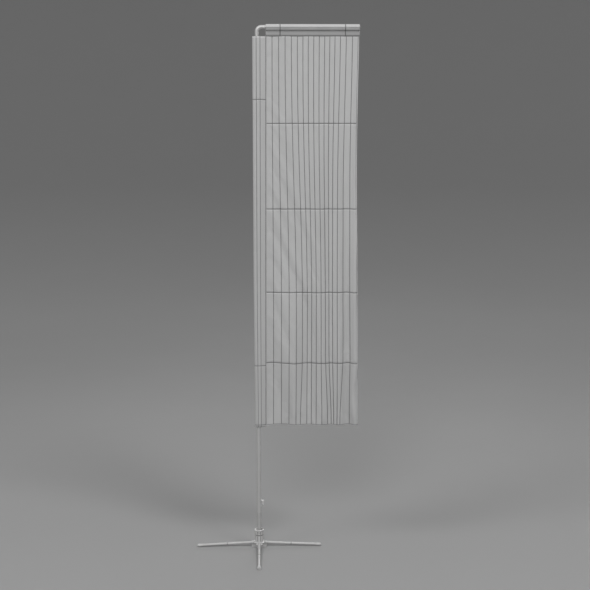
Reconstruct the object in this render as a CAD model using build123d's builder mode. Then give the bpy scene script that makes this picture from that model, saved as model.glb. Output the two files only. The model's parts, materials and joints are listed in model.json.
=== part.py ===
from build123d import *
from math import cos, pi, radians, sin
import os

# A free-standing block flag: a rectangular banner on an L-shaped pole, turning on a folding cross base.
# Frame: +Z up, origin on the floor under the spindle. The flag reaches towards +X.

# ---- driving dimensions, mm ----

# Pole and arm: one tube size, a quarter bend at the top
TUBE_RADIUS = 13.0
TUBE_BORE = 11.5
ARM_HEIGHT = 3585.5
BEND_RADIUS = 32.0
POLE_FOOT = 122.8
POLE_JOINTS = (1222.0, 2322.0, 3422.0)
ELBOW_REACH = 141.0
ARM_REACH = 668.0
SPIGOT_RADIUS = 11.4
SPIGOT_DEPTH = 80.0
SPIGOT_STOP = 2.0
FOOT_SLEEVE_RADIUS = 14.8
FOOT_SLEEVE_TOP = 250.0

# Legs: four tubes hinged at the hub, drooping to their feet
LEG_TURNS = {"right": 0, "back": 90, "left": 180, "front": 270}
LEG_RADIUS = 9.0
LEG_BORE = 7.5
LEG_REACH = 434.0
PIVOT_REACH = 45.0
PIVOT_HEIGHT = 28.0
TIP_HEIGHT = 9.2
LEG_INNER_END = -10.0
LEG_BAND_AT = 176.0
LEG_BAND_WIDTH = 8.0
LEG_BAND_RADIUS = 10.6
TUBE_END_IN_FOOT = 376.0
FOOT_START = 342.0
# Foot sections: distance from the pivot, half width, half height
FOOT_SECTIONS = ((342.0, 10.6, 10.4), (364.0, 11.4, 10.4), (384.0, 13.4, 10.2), (389.4, 11.8, 8.4))

# Hub casting
HUB_CORE_RADIUS = 28.0
HUB_HEIGHT = 36.0
HUB_FLOOR = 8.0
HUB_BORE = 15.6
DISC_RADIUS = 42.0
DISC_BOTTOM = 31.0
EAR_GAP = 18.8
EAR_THICKNESS = 4.6
EAR_REACH = 53.0
SLOT_ROOT = 31.0

# Pivot bolts, M6
BOLT_RADIUS = 3.0
BOLT_HOLE = 3.05
BUSH_RADIUS = 4.5
WASHER_THICKNESS = 1.2
BOLT_HEAD_HEIGHT = 4.0
NUT_HEIGHT = 5.0

# Bearing housing, bearings and spindle
BEARING_RADIUS = 17.5
BEARING_BORE = 8.5
BEARING_WIDTH = 10.0
BALL_PITCH_RADIUS = 13.0
BALL_RADIUS = 2.4
BALL_COUNT = 9
HOUSING_BORE = 15.0
HOUSING_TOP = 85.0
SCREW_CIRCLE = 22.0
SCREW_RADIUS = 2.45
# Grip flutes down the housing and the collar
FLUTE_COUNT = 8
FLUTE_CENTRE = 29.5
FLUTE_RADIUS = 3.5
SPINDLE_BOTTOM = 22.0
SPINDLE_TOP = 290.0
SPINDLE_SEAT = 12.0

# Rotating collar
COLLAR_RADIUS = 28.0
COLLAR_BOTTOM = 87.0
LIP_RADIUS = 32.0
LIP_BOTTOM = 118.5
COLLAR_TOP = 125.0
RECESS_RADIUS = 25.5
RECESS_FLOOR = 121.0
GRUB_HEIGHT = 103.0

# Tension hook on the pole
HOOK_BOTTOM = 290.0
HOOK_TOP = 355.0
HOOK_SADDLE_RADIUS = 15.0
HOOK_ARM_HEIGHT = 340.0
HOOK_TIP_HEIGHT = 308.0
HOOK_REACH = 34.0
HOOK_PLATE = 5.0
HOOK_TONGUE = 11.0
HOOK_HALF_WIDTH = 6.5
RIVET_HEIGHTS = (298.5, 347.0)

# Flag: pole sleeve, top sleeve and panel
CLOTH = 1.8
FLAG_RIGHT = 680.0
FLAG_TOP = 3525.0
PANEL_BOTTOM = 883.0
SLEEVE_BOTTOM = 872.0
SLEEVE_TOP_EDGES = (-29.0, 58.0)
SLEEVE_BOTTOM_EDGES = (-23.0, 48.0)
SLEEVE_HALF_DEPTH = 17.2
TOP_SLEEVE_START = 59.0
TOP_SLEEVE_SLACK = 3.6
# Folds along the panel's lower edge: one broad bulge forward, and ripples that tighten towards the fly
BULGE_DEPTH = 46.0
BULGE_TURN = 2.2
RIPPLE_DEPTH = 18.0
RIPPLE_PITCH = 0.28
RIPPLE_POWER = 1.9
RIPPLE_START = 0.34

FLOOR = Plane.XY
leg_length = LEG_REACH - PIVOT_REACH
droop_drop = (PIVOT_HEIGHT - TIP_HEIGHT) / leg_length

os.makedirs("parts", exist_ok=True)


def save(builder, node):
    """Label a finished piece and write it as a node."""
    builder.part.label = node
    export_step(builder.part, f"parts/{node}.step")


def along_leg(turn, offset=0.0):
    """Upright plane along a leg: local X runs outward, local Y up, and its normal is the hinge axis."""
    outward = Vector(1, 0, 0).rotate(Axis.Z, turn)
    return Plane(origin=(0, 0, 0), x_dir=outward, z_dir=outward.cross(Vector(0, 0, 1))).offset(offset)


def across_leg(turn, distance):
    """Plane square to a leg's drooping axis, at a distance outward from its pivot: local Y is up."""
    outward = Vector(1, 0, 0).rotate(Axis.Z, turn)
    axis = (outward - Vector(0, 0, droop_drop)).normalized()
    pivot = outward * PIVOT_REACH + Vector(0, 0, PIVOT_HEIGHT)
    level = Vector(0, 1, 0).rotate(Axis.Z, turn)
    return Plane(origin=pivot + axis * distance, x_dir=level, z_dir=axis)


def ring(bottom, top, outer, inner):
    """A plain round ring standing on a level plane."""
    with BuildPart() as piece:
        with BuildSketch(Plane.XY.offset(bottom)):
            Circle(outer)
            Circle(inner, mode=Mode.SUBTRACT)
        extrude(amount=top - bottom)
    return piece


def flutes(bottom, top):
    """Round grooves down the outside of the housing or collar, to cut away."""
    with BuildPart() as cutters:
        with BuildSketch(Plane.XY.offset(bottom)):
            with PolarLocations(FLUTE_CENTRE, FLUTE_COUNT, start_angle=180 / FLUTE_COUNT):
                Circle(FLUTE_RADIUS)
        extrude(amount=top - bottom)
    return cutters.part


# ---- base: hub casting ----

with BuildPart() as hub_casting:
    with BuildSketch(FLOOR):
        Circle(HUB_CORE_RADIUS)
    extrude(amount=HUB_HEIGHT)
    with BuildSketch(Plane.XY.offset(DISC_BOTTOM)):
        Circle(DISC_RADIUS)
    extrude(amount=HUB_HEIGHT - DISC_BOTTOM)
    disc_rim = hub_casting.edges().filter_by(GeomType.CIRCLE).group_by(SortBy.RADIUS)[-1]
    chamfer(disc_rim, length=1.2)
    # A pair of ears for each leg, rounded at their outer corners
    for turn in LEG_TURNS.values():
        for inner_face in (EAR_GAP / 2, -EAR_GAP / 2 - EAR_THICKNESS):
            with BuildSketch(along_leg(turn, inner_face)) as ear:
                with Locations((HUB_CORE_RADIUS - 8, 0)):
                    Rectangle(EAR_REACH - HUB_CORE_RADIUS + 8, HUB_HEIGHT, align=(Align.MIN, Align.MIN))
                outer_corners = ear.vertices().group_by(Axis((0, 0, 0), along_leg(turn).x_dir))[-1]
                fillet(outer_corners, radius=8)
            extrude(amount=EAR_THICKNESS)
    # The slot that lets each leg swing up, and its bolt hole
    for turn in LEG_TURNS.values():
        with BuildSketch(along_leg(turn)):
            with Locations((SLOT_ROOT, -1)):
                Rectangle(EAR_REACH, HUB_HEIGHT + 4, align=(Align.MIN, Align.MIN))
        extrude(amount=EAR_GAP / 2, both=True, mode=Mode.SUBTRACT)
        with BuildSketch(along_leg(turn)):
            with Locations((PIVOT_REACH, PIVOT_HEIGHT)):
                Circle(BOLT_HOLE)
        extrude(amount=EAR_GAP / 2 + EAR_THICKNESS + 1, both=True, mode=Mode.SUBTRACT)
    # Blind bore over the spindle nut
    with BuildSketch(Plane.XY.offset(HUB_FLOOR)):
        Circle(HUB_BORE)
    extrude(amount=HUB_HEIGHT, mode=Mode.SUBTRACT)
    # Countersunk screw holes from the underside
    with Locations(Plane(origin=(0, 0, 0), x_dir=(1, 0, 0), z_dir=(0, 0, -1))):
        with PolarLocations(SCREW_CIRCLE, 4, start_angle=45):
            CounterSinkHole(2.6, 5.0, depth=HUB_HEIGHT + 2, counter_sink_angle=90)
save(hub_casting, "hub_casting")

# ---- base: bearing housing and its fixings ----

with BuildPart() as bearing_housing:
    with BuildSketch(Plane.XY.offset(HUB_HEIGHT)):
        Circle(HUB_CORE_RADIUS)
    extrude(amount=HOUSING_TOP - HUB_HEIGHT)
    housing_rims = bearing_housing.edges().filter_by(GeomType.CIRCLE)
    chamfer(housing_rims, length=1.0)
    with BuildSketch(Plane.XY.offset(HUB_HEIGHT - 1)):
        Circle(HOUSING_BORE)
    extrude(amount=HOUSING_TOP - HUB_HEIGHT + 2, mode=Mode.SUBTRACT)
    for seat in (HUB_HEIGHT, HOUSING_TOP - BEARING_WIDTH):
        with BuildSketch(Plane.XY.offset(seat)):
            Circle(BEARING_RADIUS)
        extrude(amount=BEARING_WIDTH, mode=Mode.SUBTRACT)
    with BuildSketch(Plane.XY.offset(HUB_HEIGHT)):
        with PolarLocations(SCREW_CIRCLE, 4, start_angle=45):
            Circle(SCREW_RADIUS + 0.05)
    extrude(amount=18, mode=Mode.SUBTRACT)
    add(flutes(HUB_HEIGHT + 6, HOUSING_TOP - 5), mode=Mode.SUBTRACT)
save(bearing_housing, "bearing_housing")

with BuildPart() as housing_screws:
    with BuildSketch(Plane.XY.offset(0.6)):
        with PolarLocations(SCREW_CIRCLE, 4, start_angle=45):
            Circle(SCREW_RADIUS)
    extrude(amount=50)
    with BuildSketch(Plane.XY.offset(0.6)):
        with PolarLocations(SCREW_CIRCLE, 4, start_angle=45):
            Circle(4.3)
    extrude(amount=1.8, taper=44)
    with BuildSketch(Plane.XY.offset(0.6)):
        with PolarLocations(SCREW_CIRCLE, 4, start_angle=45):
            RegularPolygon(radius=1.7, side_count=6)
    extrude(amount=1.2, mode=Mode.SUBTRACT)
save(housing_screws, "housing_screws")


def bearing_race(bottom, outer, inner):
    """One bearing ring with the ball groove turned in it."""
    middle = bottom + BEARING_WIDTH / 2
    with BuildPart() as race:
        with BuildSketch(Plane.XY.offset(bottom)):
            Circle(outer)
            Circle(inner, mode=Mode.SUBTRACT)
        extrude(amount=BEARING_WIDTH)
        with BuildSketch(Plane.XZ):
            with Locations((BALL_PITCH_RADIUS, middle)):
                Circle(BALL_RADIUS + 0.05)
        revolve(axis=Axis.Z, mode=Mode.SUBTRACT)
    return race.part


bearing_seats = {"lower": HUB_HEIGHT, "upper": HOUSING_TOP - BEARING_WIDTH}
for place, bottom in bearing_seats.items():
    with BuildPart() as outer_ring:
        add(bearing_race(bottom, BEARING_RADIUS, BALL_PITCH_RADIUS + 1.4))
    save(outer_ring, f"{place}_bearing_outer_ring")
    with BuildPart() as inner_ring:
        add(bearing_race(bottom, BALL_PITCH_RADIUS - 1.4, BEARING_BORE))
    save(inner_ring, f"{place}_bearing_inner_ring")
    with BuildPart() as balls:
        with Locations(Plane.XY.offset(bottom + BEARING_WIDTH / 2)):
            with PolarLocations(BALL_PITCH_RADIUS, BALL_COUNT):
                Sphere(BALL_RADIUS)
    save(balls, f"{place}_bearing_balls")

# ---- spindle and what turns with it ----

with BuildPart() as spindle:
    with BuildSketch(Plane.XZ):
        with BuildLine():
            Polyline(
                (0, SPINDLE_BOTTOM),
                (7.2, SPINDLE_BOTTOM),
                (8.0, SPINDLE_BOTTOM + 1),
                (8.0, HUB_HEIGHT),
                (BEARING_BORE - 0.05, HUB_HEIGHT),
                (BEARING_BORE - 0.05, HOUSING_TOP),
                (SPINDLE_SEAT, HOUSING_TOP),
                (SPINDLE_SEAT, LIP_BOTTOM),
                (SPIGOT_RADIUS, LIP_BOTTOM),
                (SPIGOT_RADIUS, SPINDLE_TOP - 8),
                (SPIGOT_RADIUS - 4, SPINDLE_TOP),
                (0, SPINDLE_TOP),
                close=True,
            )
        make_face()
    revolve(axis=Axis.Z)
save(spindle, "spindle")

spacer_bottom = HUB_HEIGHT + BEARING_WIDTH
spacer_top = HOUSING_TOP - BEARING_WIDTH
save(ring(spacer_bottom, spacer_top, 11.0, BEARING_BORE + 0.1), "bearing_spacer")
save(ring(HUB_HEIGHT - 1, HUB_HEIGHT, 11.2, 8.2), "spindle_washer")

with BuildPart() as spindle_nut:
    with BuildSketch(Plane.XY.offset(HUB_HEIGHT - 11)):
        RegularPolygon(radius=13.8, side_count=6)
        Circle(8.05, mode=Mode.SUBTRACT)
    extrude(amount=10)
save(spindle_nut, "spindle_nut")

with BuildPart() as rotating_collar:
    with BuildSketch(Plane.XZ):
        with BuildLine():
            Polyline(
                (SPINDLE_SEAT, COLLAR_BOTTOM),
                (COLLAR_RADIUS - 1, COLLAR_BOTTOM),
                (COLLAR_RADIUS, COLLAR_BOTTOM + 1),
                (COLLAR_RADIUS, LIP_BOTTOM - 2),
                (LIP_RADIUS, LIP_BOTTOM),
                (LIP_RADIUS, COLLAR_TOP - 1.5),
                (LIP_RADIUS - 1.5, COLLAR_TOP),
                (RECESS_RADIUS, COLLAR_TOP),
                (RECESS_RADIUS, RECESS_FLOOR),
                (SPINDLE_SEAT, RECESS_FLOOR),
                close=True,
            )
        make_face()
    revolve(axis=Axis.Z)
    with BuildSketch(Plane.XZ):
        with Locations((0, GRUB_HEIGHT)):
            Circle(3.05)
    extrude(amount=COLLAR_RADIUS + 1, both=True, mode=Mode.SUBTRACT)
    add(flutes(COLLAR_BOTTOM + 5, LIP_BOTTOM - 5), mode=Mode.SUBTRACT)
save(rotating_collar, "rotating_collar")

with BuildPart() as collar_grub_screws:
    for side in (-1, 1):
        with BuildSketch(Plane.XZ.offset(side * 16.5)):
            with Locations((0, GRUB_HEIGHT)):
                Circle(3.0)
        extrude(amount=4.4, both=True)
        with BuildSketch(Plane.XZ.offset(side * 19.0)):
            with Locations((0, GRUB_HEIGHT)):
                RegularPolygon(radius=1.6, side_count=6)
        extrude(amount=side * 4, mode=Mode.SUBTRACT)
save(collar_grub_screws, "collar_grub_screws")

save(ring(RECESS_FLOOR, RECESS_FLOOR + 1.5, 16.5, SPIGOT_RADIUS + 0.1), "pole_seat_washer")

# ---- legs: tube, band, bush and foot, four times ----

for side_name, turn in LEG_TURNS.items():
    with BuildPart() as leg_tube:
        with BuildSketch(across_leg(turn, LEG_INNER_END)):
            Circle(LEG_RADIUS)
            Circle(LEG_BORE, mode=Mode.SUBTRACT)
        extrude(amount=TUBE_END_IN_FOOT - LEG_INNER_END)
        # Cross hole for the bush
        with BuildSketch(along_leg(turn)):
            with Locations((PIVOT_REACH, PIVOT_HEIGHT)):
                Circle(BUSH_RADIUS)
        extrude(amount=LEG_RADIUS + 1, both=True, mode=Mode.SUBTRACT)
    save(leg_tube, f"leg_{side_name}_tube")

    with BuildPart() as leg_band:
        with BuildSketch(across_leg(turn, LEG_BAND_AT)):
            Circle(LEG_BAND_RADIUS)
            Circle(LEG_RADIUS + 0.02, mode=Mode.SUBTRACT)
        extrude(amount=LEG_BAND_WIDTH)
        band_rims = leg_band.edges().filter_by(GeomType.CIRCLE).group_by(SortBy.RADIUS)[-1]
        fillet(band_rims, radius=1.2)
    save(leg_band, f"leg_{side_name}_band")

    with BuildPart() as leg_bush:
        with BuildSketch(along_leg(turn)):
            with Locations((PIVOT_REACH, PIVOT_HEIGHT)):
                Circle(BUSH_RADIUS)
                Circle(BOLT_HOLE, mode=Mode.SUBTRACT)
        extrude(amount=EAR_GAP / 2 - 0.1, both=True)
    save(leg_bush, f"leg_{side_name}_bush")

    with BuildPart() as leg_foot:
        # Cap over the tube, spreading to a toe that is cut flat where it stands
        for distance, half_width, half_height in FOOT_SECTIONS:
            with BuildSketch(across_leg(turn, distance)):
                Ellipse(half_width, half_height)
        loft()
        with BuildSketch(FLOOR):
            with Locations((LEG_REACH * cos(radians(turn)), LEG_REACH * sin(radians(turn)))):
                Rectangle(200, 200)
        extrude(amount=-10, mode=Mode.SUBTRACT)
        with BuildSketch(across_leg(turn, FOOT_START - 1)):
            Circle(LEG_RADIUS)
        extrude(amount=TUBE_END_IN_FOOT - FOOT_START + 1, mode=Mode.SUBTRACT)
    save(leg_foot, f"leg_{side_name}_foot")

# ---- pivot fasteners, one of each for every leg ----

ear_outside = EAR_GAP / 2 + EAR_THICKNESS
head_seat = ear_outside + WASHER_THICKNESS


def at_pivot():
    """Sketch location of the pivot on a leg's upright plane."""
    return Locations((PIVOT_REACH, PIVOT_HEIGHT))


with BuildPart() as pivot_bolts:
    for turn in LEG_TURNS.values():
        with BuildSketch(along_leg(turn, -head_seat - NUT_HEIGHT - 1.5)):
            with at_pivot():
                Circle(BOLT_RADIUS)
        extrude(amount=2 * head_seat + NUT_HEIGHT + 1.5)
        with BuildSketch(along_leg(turn, head_seat)):
            with at_pivot():
                RegularPolygon(radius=5.7, side_count=6)
        extrude(amount=BOLT_HEAD_HEIGHT)
save(pivot_bolts, "pivot_bolts")

with BuildPart() as pivot_nuts:
    for turn in LEG_TURNS.values():
        with BuildSketch(along_leg(turn, -head_seat - NUT_HEIGHT)):
            with at_pivot():
                RegularPolygon(radius=5.7, side_count=6)
                Circle(BOLT_HOLE, mode=Mode.SUBTRACT)
        extrude(amount=NUT_HEIGHT)
save(pivot_nuts, "pivot_nuts")

with BuildPart() as pivot_washers:
    for turn in LEG_TURNS.values():
        for inner_face in (ear_outside, -head_seat):
            with BuildSketch(along_leg(turn, inner_face)):
                with at_pivot():
                    Circle(6.4)
                    Circle(BOLT_HOLE, mode=Mode.SUBTRACT)
            extrude(amount=WASHER_THICKNESS)
save(pivot_washers, "pivot_washers")

# ---- pole: three straight tubes, the bent tube and the arm, joined by spigots ----

tube_starts = (POLE_FOOT,) + tuple(joint + SPIGOT_STOP / 2 for joint in POLE_JOINTS)
tube_ends = tuple(joint - SPIGOT_STOP / 2 for joint in POLE_JOINTS)

with BuildPart() as pole_lower_tube:
    with BuildSketch(Plane.XY.offset(tube_starts[0])):
        Circle(TUBE_RADIUS)
        Circle(TUBE_BORE, mode=Mode.SUBTRACT)
    extrude(amount=tube_ends[0] - tube_starts[0])
    # Rivet holes for the hook
    for height in RIVET_HEIGHTS:
        with BuildSketch(Plane.YZ):
            with Locations((0, height)):
                Circle(2.4)
        extrude(amount=TUBE_RADIUS + 1, mode=Mode.SUBTRACT)
save(pole_lower_tube, "pole_lower_tube")

save(ring(tube_starts[1], tube_ends[1], TUBE_RADIUS, TUBE_BORE), "pole_middle_tube")
save(ring(tube_starts[2], tube_ends[2], TUBE_RADIUS, TUBE_BORE), "pole_upper_tube")


def spigot(plane):
    """Joining plug between two tube ends: its stop ring sits between them, centred on the plane."""
    with BuildPart() as plug:
        with BuildSketch(plane):
            Circle(TUBE_RADIUS)
        extrude(amount=SPIGOT_STOP / 2, both=True)
        with BuildSketch(plane):
            Circle(SPIGOT_RADIUS)
        extrude(amount=SPIGOT_DEPTH, both=True)
        tips = plug.edges().filter_by(GeomType.CIRCLE).sort_by(Axis((0, 0, 0), plane.z_dir))
        chamfer([tips[0], tips[-1]], length=2)
        with BuildSketch(plane):
            Circle(SPIGOT_RADIUS - 3)
        extrude(amount=SPIGOT_DEPTH + 1, both=True, mode=Mode.SUBTRACT)
    return plug


save(spigot(Plane.XY.offset(POLE_JOINTS[0])), "lower_spigot")
save(spigot(Plane.XY.offset(POLE_JOINTS[1])), "middle_spigot")
save(spigot(Plane.XY.offset(POLE_JOINTS[2])), "elbow_spigot")
save(spigot(Plane(origin=(ELBOW_REACH, 0, ARM_HEIGHT), x_dir=(0, 1, 0), z_dir=(1, 0, 0))), "arm_spigot")

with BuildPart() as bent_tube:
    with BuildLine() as bend_path:
        FilletPolyline(
            (0, 0, tube_starts[3]),
            (0, 0, ARM_HEIGHT),
            (ELBOW_REACH - SPIGOT_STOP / 2, 0, ARM_HEIGHT),
            radius=BEND_RADIUS,
        )
    with BuildSketch(Plane.XY.offset(tube_starts[3])):
        Circle(TUBE_RADIUS)
        Circle(TUBE_BORE, mode=Mode.SUBTRACT)
    sweep(path=bend_path.wires()[0])
save(bent_tube, "bent_tube")

arm_start = Plane(origin=(ELBOW_REACH + SPIGOT_STOP / 2, 0, ARM_HEIGHT), x_dir=(0, 1, 0), z_dir=(1, 0, 0))
arm_end = Plane(origin=(ARM_REACH, 0, ARM_HEIGHT), x_dir=(0, 1, 0), z_dir=(1, 0, 0))

with BuildPart() as arm_tube:
    with BuildSketch(arm_start):
        Circle(TUBE_RADIUS)
        Circle(TUBE_BORE, mode=Mode.SUBTRACT)
    extrude(amount=ARM_REACH - ELBOW_REACH - SPIGOT_STOP / 2)
save(arm_tube, "arm_tube")

with BuildPart() as arm_end_cap:
    with BuildSketch(arm_end):
        Circle(TUBE_RADIUS + 0.4)
    extrude(amount=6)
    cap_nose = arm_end_cap.edges().filter_by(GeomType.CIRCLE).sort_by(Axis.X)[-1]
    fillet(cap_nose, radius=4)
    with BuildSketch(arm_end):
        Circle(SPIGOT_RADIUS)
    extrude(amount=-16)
save(arm_end_cap, "arm_end_cap")

save(ring(POLE_FOOT, FOOT_SLEEVE_TOP, FOOT_SLEEVE_RADIUS, TUBE_RADIUS + 0.03), "pole_foot_sleeve")

# ---- tension hook ----

with BuildPart() as tension_hook:
    # Saddle curved round the pole
    with BuildSketch(Plane.XY.offset(HOOK_BOTTOM)):
        Circle(HOOK_SADDLE_RADIUS)
        Circle(TUBE_RADIUS + 0.05, mode=Mode.SUBTRACT)
        with Locations((9, 0)):
            Rectangle(2 * HOOK_SADDLE_RADIUS, 22, align=(Align.MIN, Align.CENTER), mode=Mode.INTERSECT)
    extrude(amount=HOOK_TOP - HOOK_BOTTOM)
    # Arm and down-turned tongue
    with BuildSketch(Plane.XZ) as hook_side:
        with BuildLine():
            Polyline(
                (TUBE_RADIUS + 1, HOOK_ARM_HEIGHT - HOOK_PLATE),
                (HOOK_REACH - HOOK_TONGUE, HOOK_ARM_HEIGHT - HOOK_PLATE),
                (HOOK_REACH - HOOK_TONGUE, HOOK_TIP_HEIGHT),
                (HOOK_REACH, HOOK_TIP_HEIGHT),
                (HOOK_REACH, HOOK_ARM_HEIGHT),
                (TUBE_RADIUS + 1, HOOK_ARM_HEIGHT),
                close=True,
            )
        make_face()
        tongue_corners = hook_side.vertices().filter_by(lambda v: v.X > HOOK_REACH - HOOK_TONGUE - 1)
        fillet(tongue_corners, radius=3)
    extrude(amount=HOOK_HALF_WIDTH, both=True)
    for height in RIVET_HEIGHTS:
        with BuildSketch(Plane.YZ):
            with Locations((0, height)):
                Circle(2.4)
        extrude(amount=HOOK_SADDLE_RADIUS + 1, mode=Mode.SUBTRACT)
save(tension_hook, "tension_hook")

with BuildPart() as hook_rivets:
    for height in RIVET_HEIGHTS:
        with BuildSketch(Plane.XZ):
            with BuildLine():
                Polyline(
                    (8.9, height),
                    (8.9, height + 3.2),
                    (10.8, height + 3.2),
                    (10.8, height + 2.35),
                    (15.05, height + 2.35),
                    (15.05, height + 4.4),
                    (16.0, height + 4.0),
                    (16.9, height + 2.4),
                    (17.2, height),
                    close=True,
                )
            make_face()
        revolve(axis=Axis((0, 0, height), (1, 0, 0)))
save(hook_rivets, "hook_rivets")

# ---- flag: plain closed solids of the cloth's real size ----


def sleeve_section(height, edges, grow=0.0):
    """Flat oval across the pole sleeve at one height."""
    half_width = (edges[1] - edges[0]) / 2
    with BuildSketch(Plane.XY.offset(height)) as section:
        with Locations(((edges[0] + edges[1]) / 2, 0)):
            Ellipse(half_width + grow, SLEEVE_HALF_DEPTH + grow)
    return section.sketch


with BuildPart() as pole_sleeve:
    add(sleeve_section(SLEEVE_BOTTOM, SLEEVE_BOTTOM_EDGES))
    add(sleeve_section(FLAG_TOP, SLEEVE_TOP_EDGES))
    loft()
    add(sleeve_section(SLEEVE_BOTTOM, SLEEVE_BOTTOM_EDGES, -CLOTH))
    add(sleeve_section(FLAG_TOP, SLEEVE_TOP_EDGES, -CLOTH))
    loft(mode=Mode.SUBTRACT)
save(pole_sleeve, "pole_sleeve")

sleeve_end = Plane(origin=(TOP_SLEEVE_START, 0, ARM_HEIGHT), x_dir=(0, 1, 0), z_dir=(1, 0, 0))

with BuildPart() as top_sleeve:
    # Loose teardrop of cloth hanging over the arm, closed by its seam below
    for grow, action in ((CLOTH, Mode.ADD), (0.0, Mode.SUBTRACT)):
        with BuildSketch(sleeve_end):
            Circle(TUBE_RADIUS + TOP_SLEEVE_SLACK + grow)
            with Locations((0, FLAG_TOP - ARM_HEIGHT + 4.0)):
                Circle(1.6 + grow)
            make_hull()
        extrude(amount=FLAG_RIGHT - TOP_SLEEVE_START, mode=action)
save(top_sleeve, "top_sleeve")

panel_bottom_left = SLEEVE_BOTTOM_EDGES[1] + 0.6
panel_top_left = SLEEVE_TOP_EDGES[1] + 0.6


def fold_point(share, side):
    """A point of the panel's lower edge, a share of the way to the fly; folds come forward, to -Y."""
    along = panel_bottom_left + share * (FLAG_RIGHT - panel_bottom_left)
    bulge = BULGE_DEPTH * sin(BULGE_TURN * share)
    phase = 2 * pi * (share ** RIPPLE_POWER / RIPPLE_PITCH - RIPPLE_START)
    ripple = RIPPLE_DEPTH * min(1.0, 3 * share) * cos(phase)
    return (along, side * CLOTH / 2 - bulge - ripple)


with BuildPart() as flag_panel:
    shares = [step / 36 for step in range(37)]
    with BuildSketch(Plane.XY.offset(PANEL_BOTTOM)):
        with BuildLine():
            front = Spline([fold_point(share, -1) for share in shares])
            back = Spline([fold_point(share, 1) for share in shares])
            Line(front @ 0, back @ 0)
            Line(front @ 1, back @ 1)
        make_face()
    with BuildSketch(Plane.XY.offset(FLAG_TOP - 1.0)):
        with BuildLine():
            Polyline(
                (panel_top_left, -CLOTH / 2),
                (FLAG_RIGHT, -CLOTH / 2),
                (FLAG_RIGHT, CLOTH / 2),
                (panel_top_left, CLOTH / 2),
                close=True,
            )
        make_face()
    loft(ruled=True)
save(flag_panel, "flag_panel")
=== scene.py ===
import json
import math

import bmesh
import bpy
import numpy as np
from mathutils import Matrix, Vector, noise


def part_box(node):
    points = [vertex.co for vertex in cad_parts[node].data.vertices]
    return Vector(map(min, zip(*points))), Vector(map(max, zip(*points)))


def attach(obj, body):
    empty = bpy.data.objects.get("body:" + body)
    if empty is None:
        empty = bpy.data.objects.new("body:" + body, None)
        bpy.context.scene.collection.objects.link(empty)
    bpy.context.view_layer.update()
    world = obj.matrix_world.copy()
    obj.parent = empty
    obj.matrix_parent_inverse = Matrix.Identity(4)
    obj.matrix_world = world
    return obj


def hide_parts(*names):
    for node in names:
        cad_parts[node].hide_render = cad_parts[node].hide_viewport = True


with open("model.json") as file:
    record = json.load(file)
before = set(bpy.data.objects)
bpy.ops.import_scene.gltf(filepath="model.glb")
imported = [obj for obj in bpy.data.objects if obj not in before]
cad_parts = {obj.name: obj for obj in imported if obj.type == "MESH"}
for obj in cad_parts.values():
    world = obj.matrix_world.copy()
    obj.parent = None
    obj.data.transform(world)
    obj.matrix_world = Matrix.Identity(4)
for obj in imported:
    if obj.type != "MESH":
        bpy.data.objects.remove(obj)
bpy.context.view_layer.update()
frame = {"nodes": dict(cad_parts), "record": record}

# ---- camera: a long lens in front, level with the upper flag and looking a little down ----

CAMERA_PLACE = Vector((0.035, -8.140, 3.164))
CAMERA_TURN = math.radians(1.53)
CAMERA_PITCH = math.radians(9.53)
CAMERA_LENS = 73.8
SENSOR_WIDTH = 36.0


def make_camera():
    camera = bpy.data.objects.new("camera", bpy.data.cameras.new("camera"))
    bpy.context.scene.collection.objects.link(camera)
    camera.data.sensor_width = SENSOR_WIDTH
    camera.data.lens = CAMERA_LENS
    camera.data.clip_start, camera.data.clip_end = 0.05, 100.0
    ahead = Vector((
        math.sin(CAMERA_TURN) * math.cos(CAMERA_PITCH),
        math.cos(CAMERA_TURN) * math.cos(CAMERA_PITCH),
        -math.sin(CAMERA_PITCH),
    ))
    camera.location = CAMERA_PLACE
    camera.rotation_mode = "QUATERNION"
    camera.rotation_quaternion = ahead.to_track_quat("-Z", "Y")
    bpy.context.scene.camera = camera


make_camera()

# ---- node tree helpers ----


def feed(tree, sockets, values):
    """Gives each socket its value, which is a constant or another node's output socket to link."""
    for socket, value in zip(sockets, values):
        if isinstance(value, bpy.types.NodeSocket):
            tree.links.new(value, socket)
        else:
            socket.default_value = value


def add_node(tree, kind, inputs=None, **settings):
    made = tree.nodes.new(kind)
    for key, value in settings.items():
        setattr(made, key, value)
    inputs = inputs or {}
    feed(tree, [made.inputs[key] for key in inputs], inputs.values())
    return made


def place(tree, stretch=(1.0, 1.0, 1.0)):
    """Object coordinates, in metres, scaled along each axis."""
    coordinates = add_node(tree, "ShaderNodeTexCoord")
    inputs = {"Vector": coordinates.outputs["Object"], "Scale": stretch}
    return add_node(tree, "ShaderNodeMapping", inputs).outputs["Vector"]


def grain(tree, scale, stretch=(1.0, 1.0, 1.0), detail=3.0, roughness=0.55):
    """Noise from 0 to 1 over the object's own coordinates."""
    inputs = {"Vector": place(tree, stretch), "Scale": scale, "Detail": detail, "Roughness": roughness}
    return add_node(tree, "ShaderNodeTexNoise", inputs).outputs["Fac"]


def remap(tree, value, low, high, to_low=0.0, to_high=1.0):
    """The value's share of the way from low to high, carried to the range from to_low to to_high."""
    inputs = {"Value": value, "From Min": low, "From Max": high, "To Min": to_low, "To Max": to_high}
    return add_node(tree, "ShaderNodeMapRange", inputs, clamp=True).outputs["Result"]


def math_node(tree, operation, first, second):
    made = add_node(tree, "ShaderNodeMath", operation=operation)
    feed(tree, made.inputs, (first, second))
    return made.outputs["Value"]


def mix_colour(tree, factor, first, second):
    made = add_node(tree, "ShaderNodeMix", data_type="RGBA")
    # A colour mix keeps its factor in socket 0, its two colours in 6 and 7, and its result in output 2
    feed(tree, (made.inputs[0], made.inputs[6], made.inputs[7]), (factor, first, second))
    return made.outputs[2]


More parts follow.
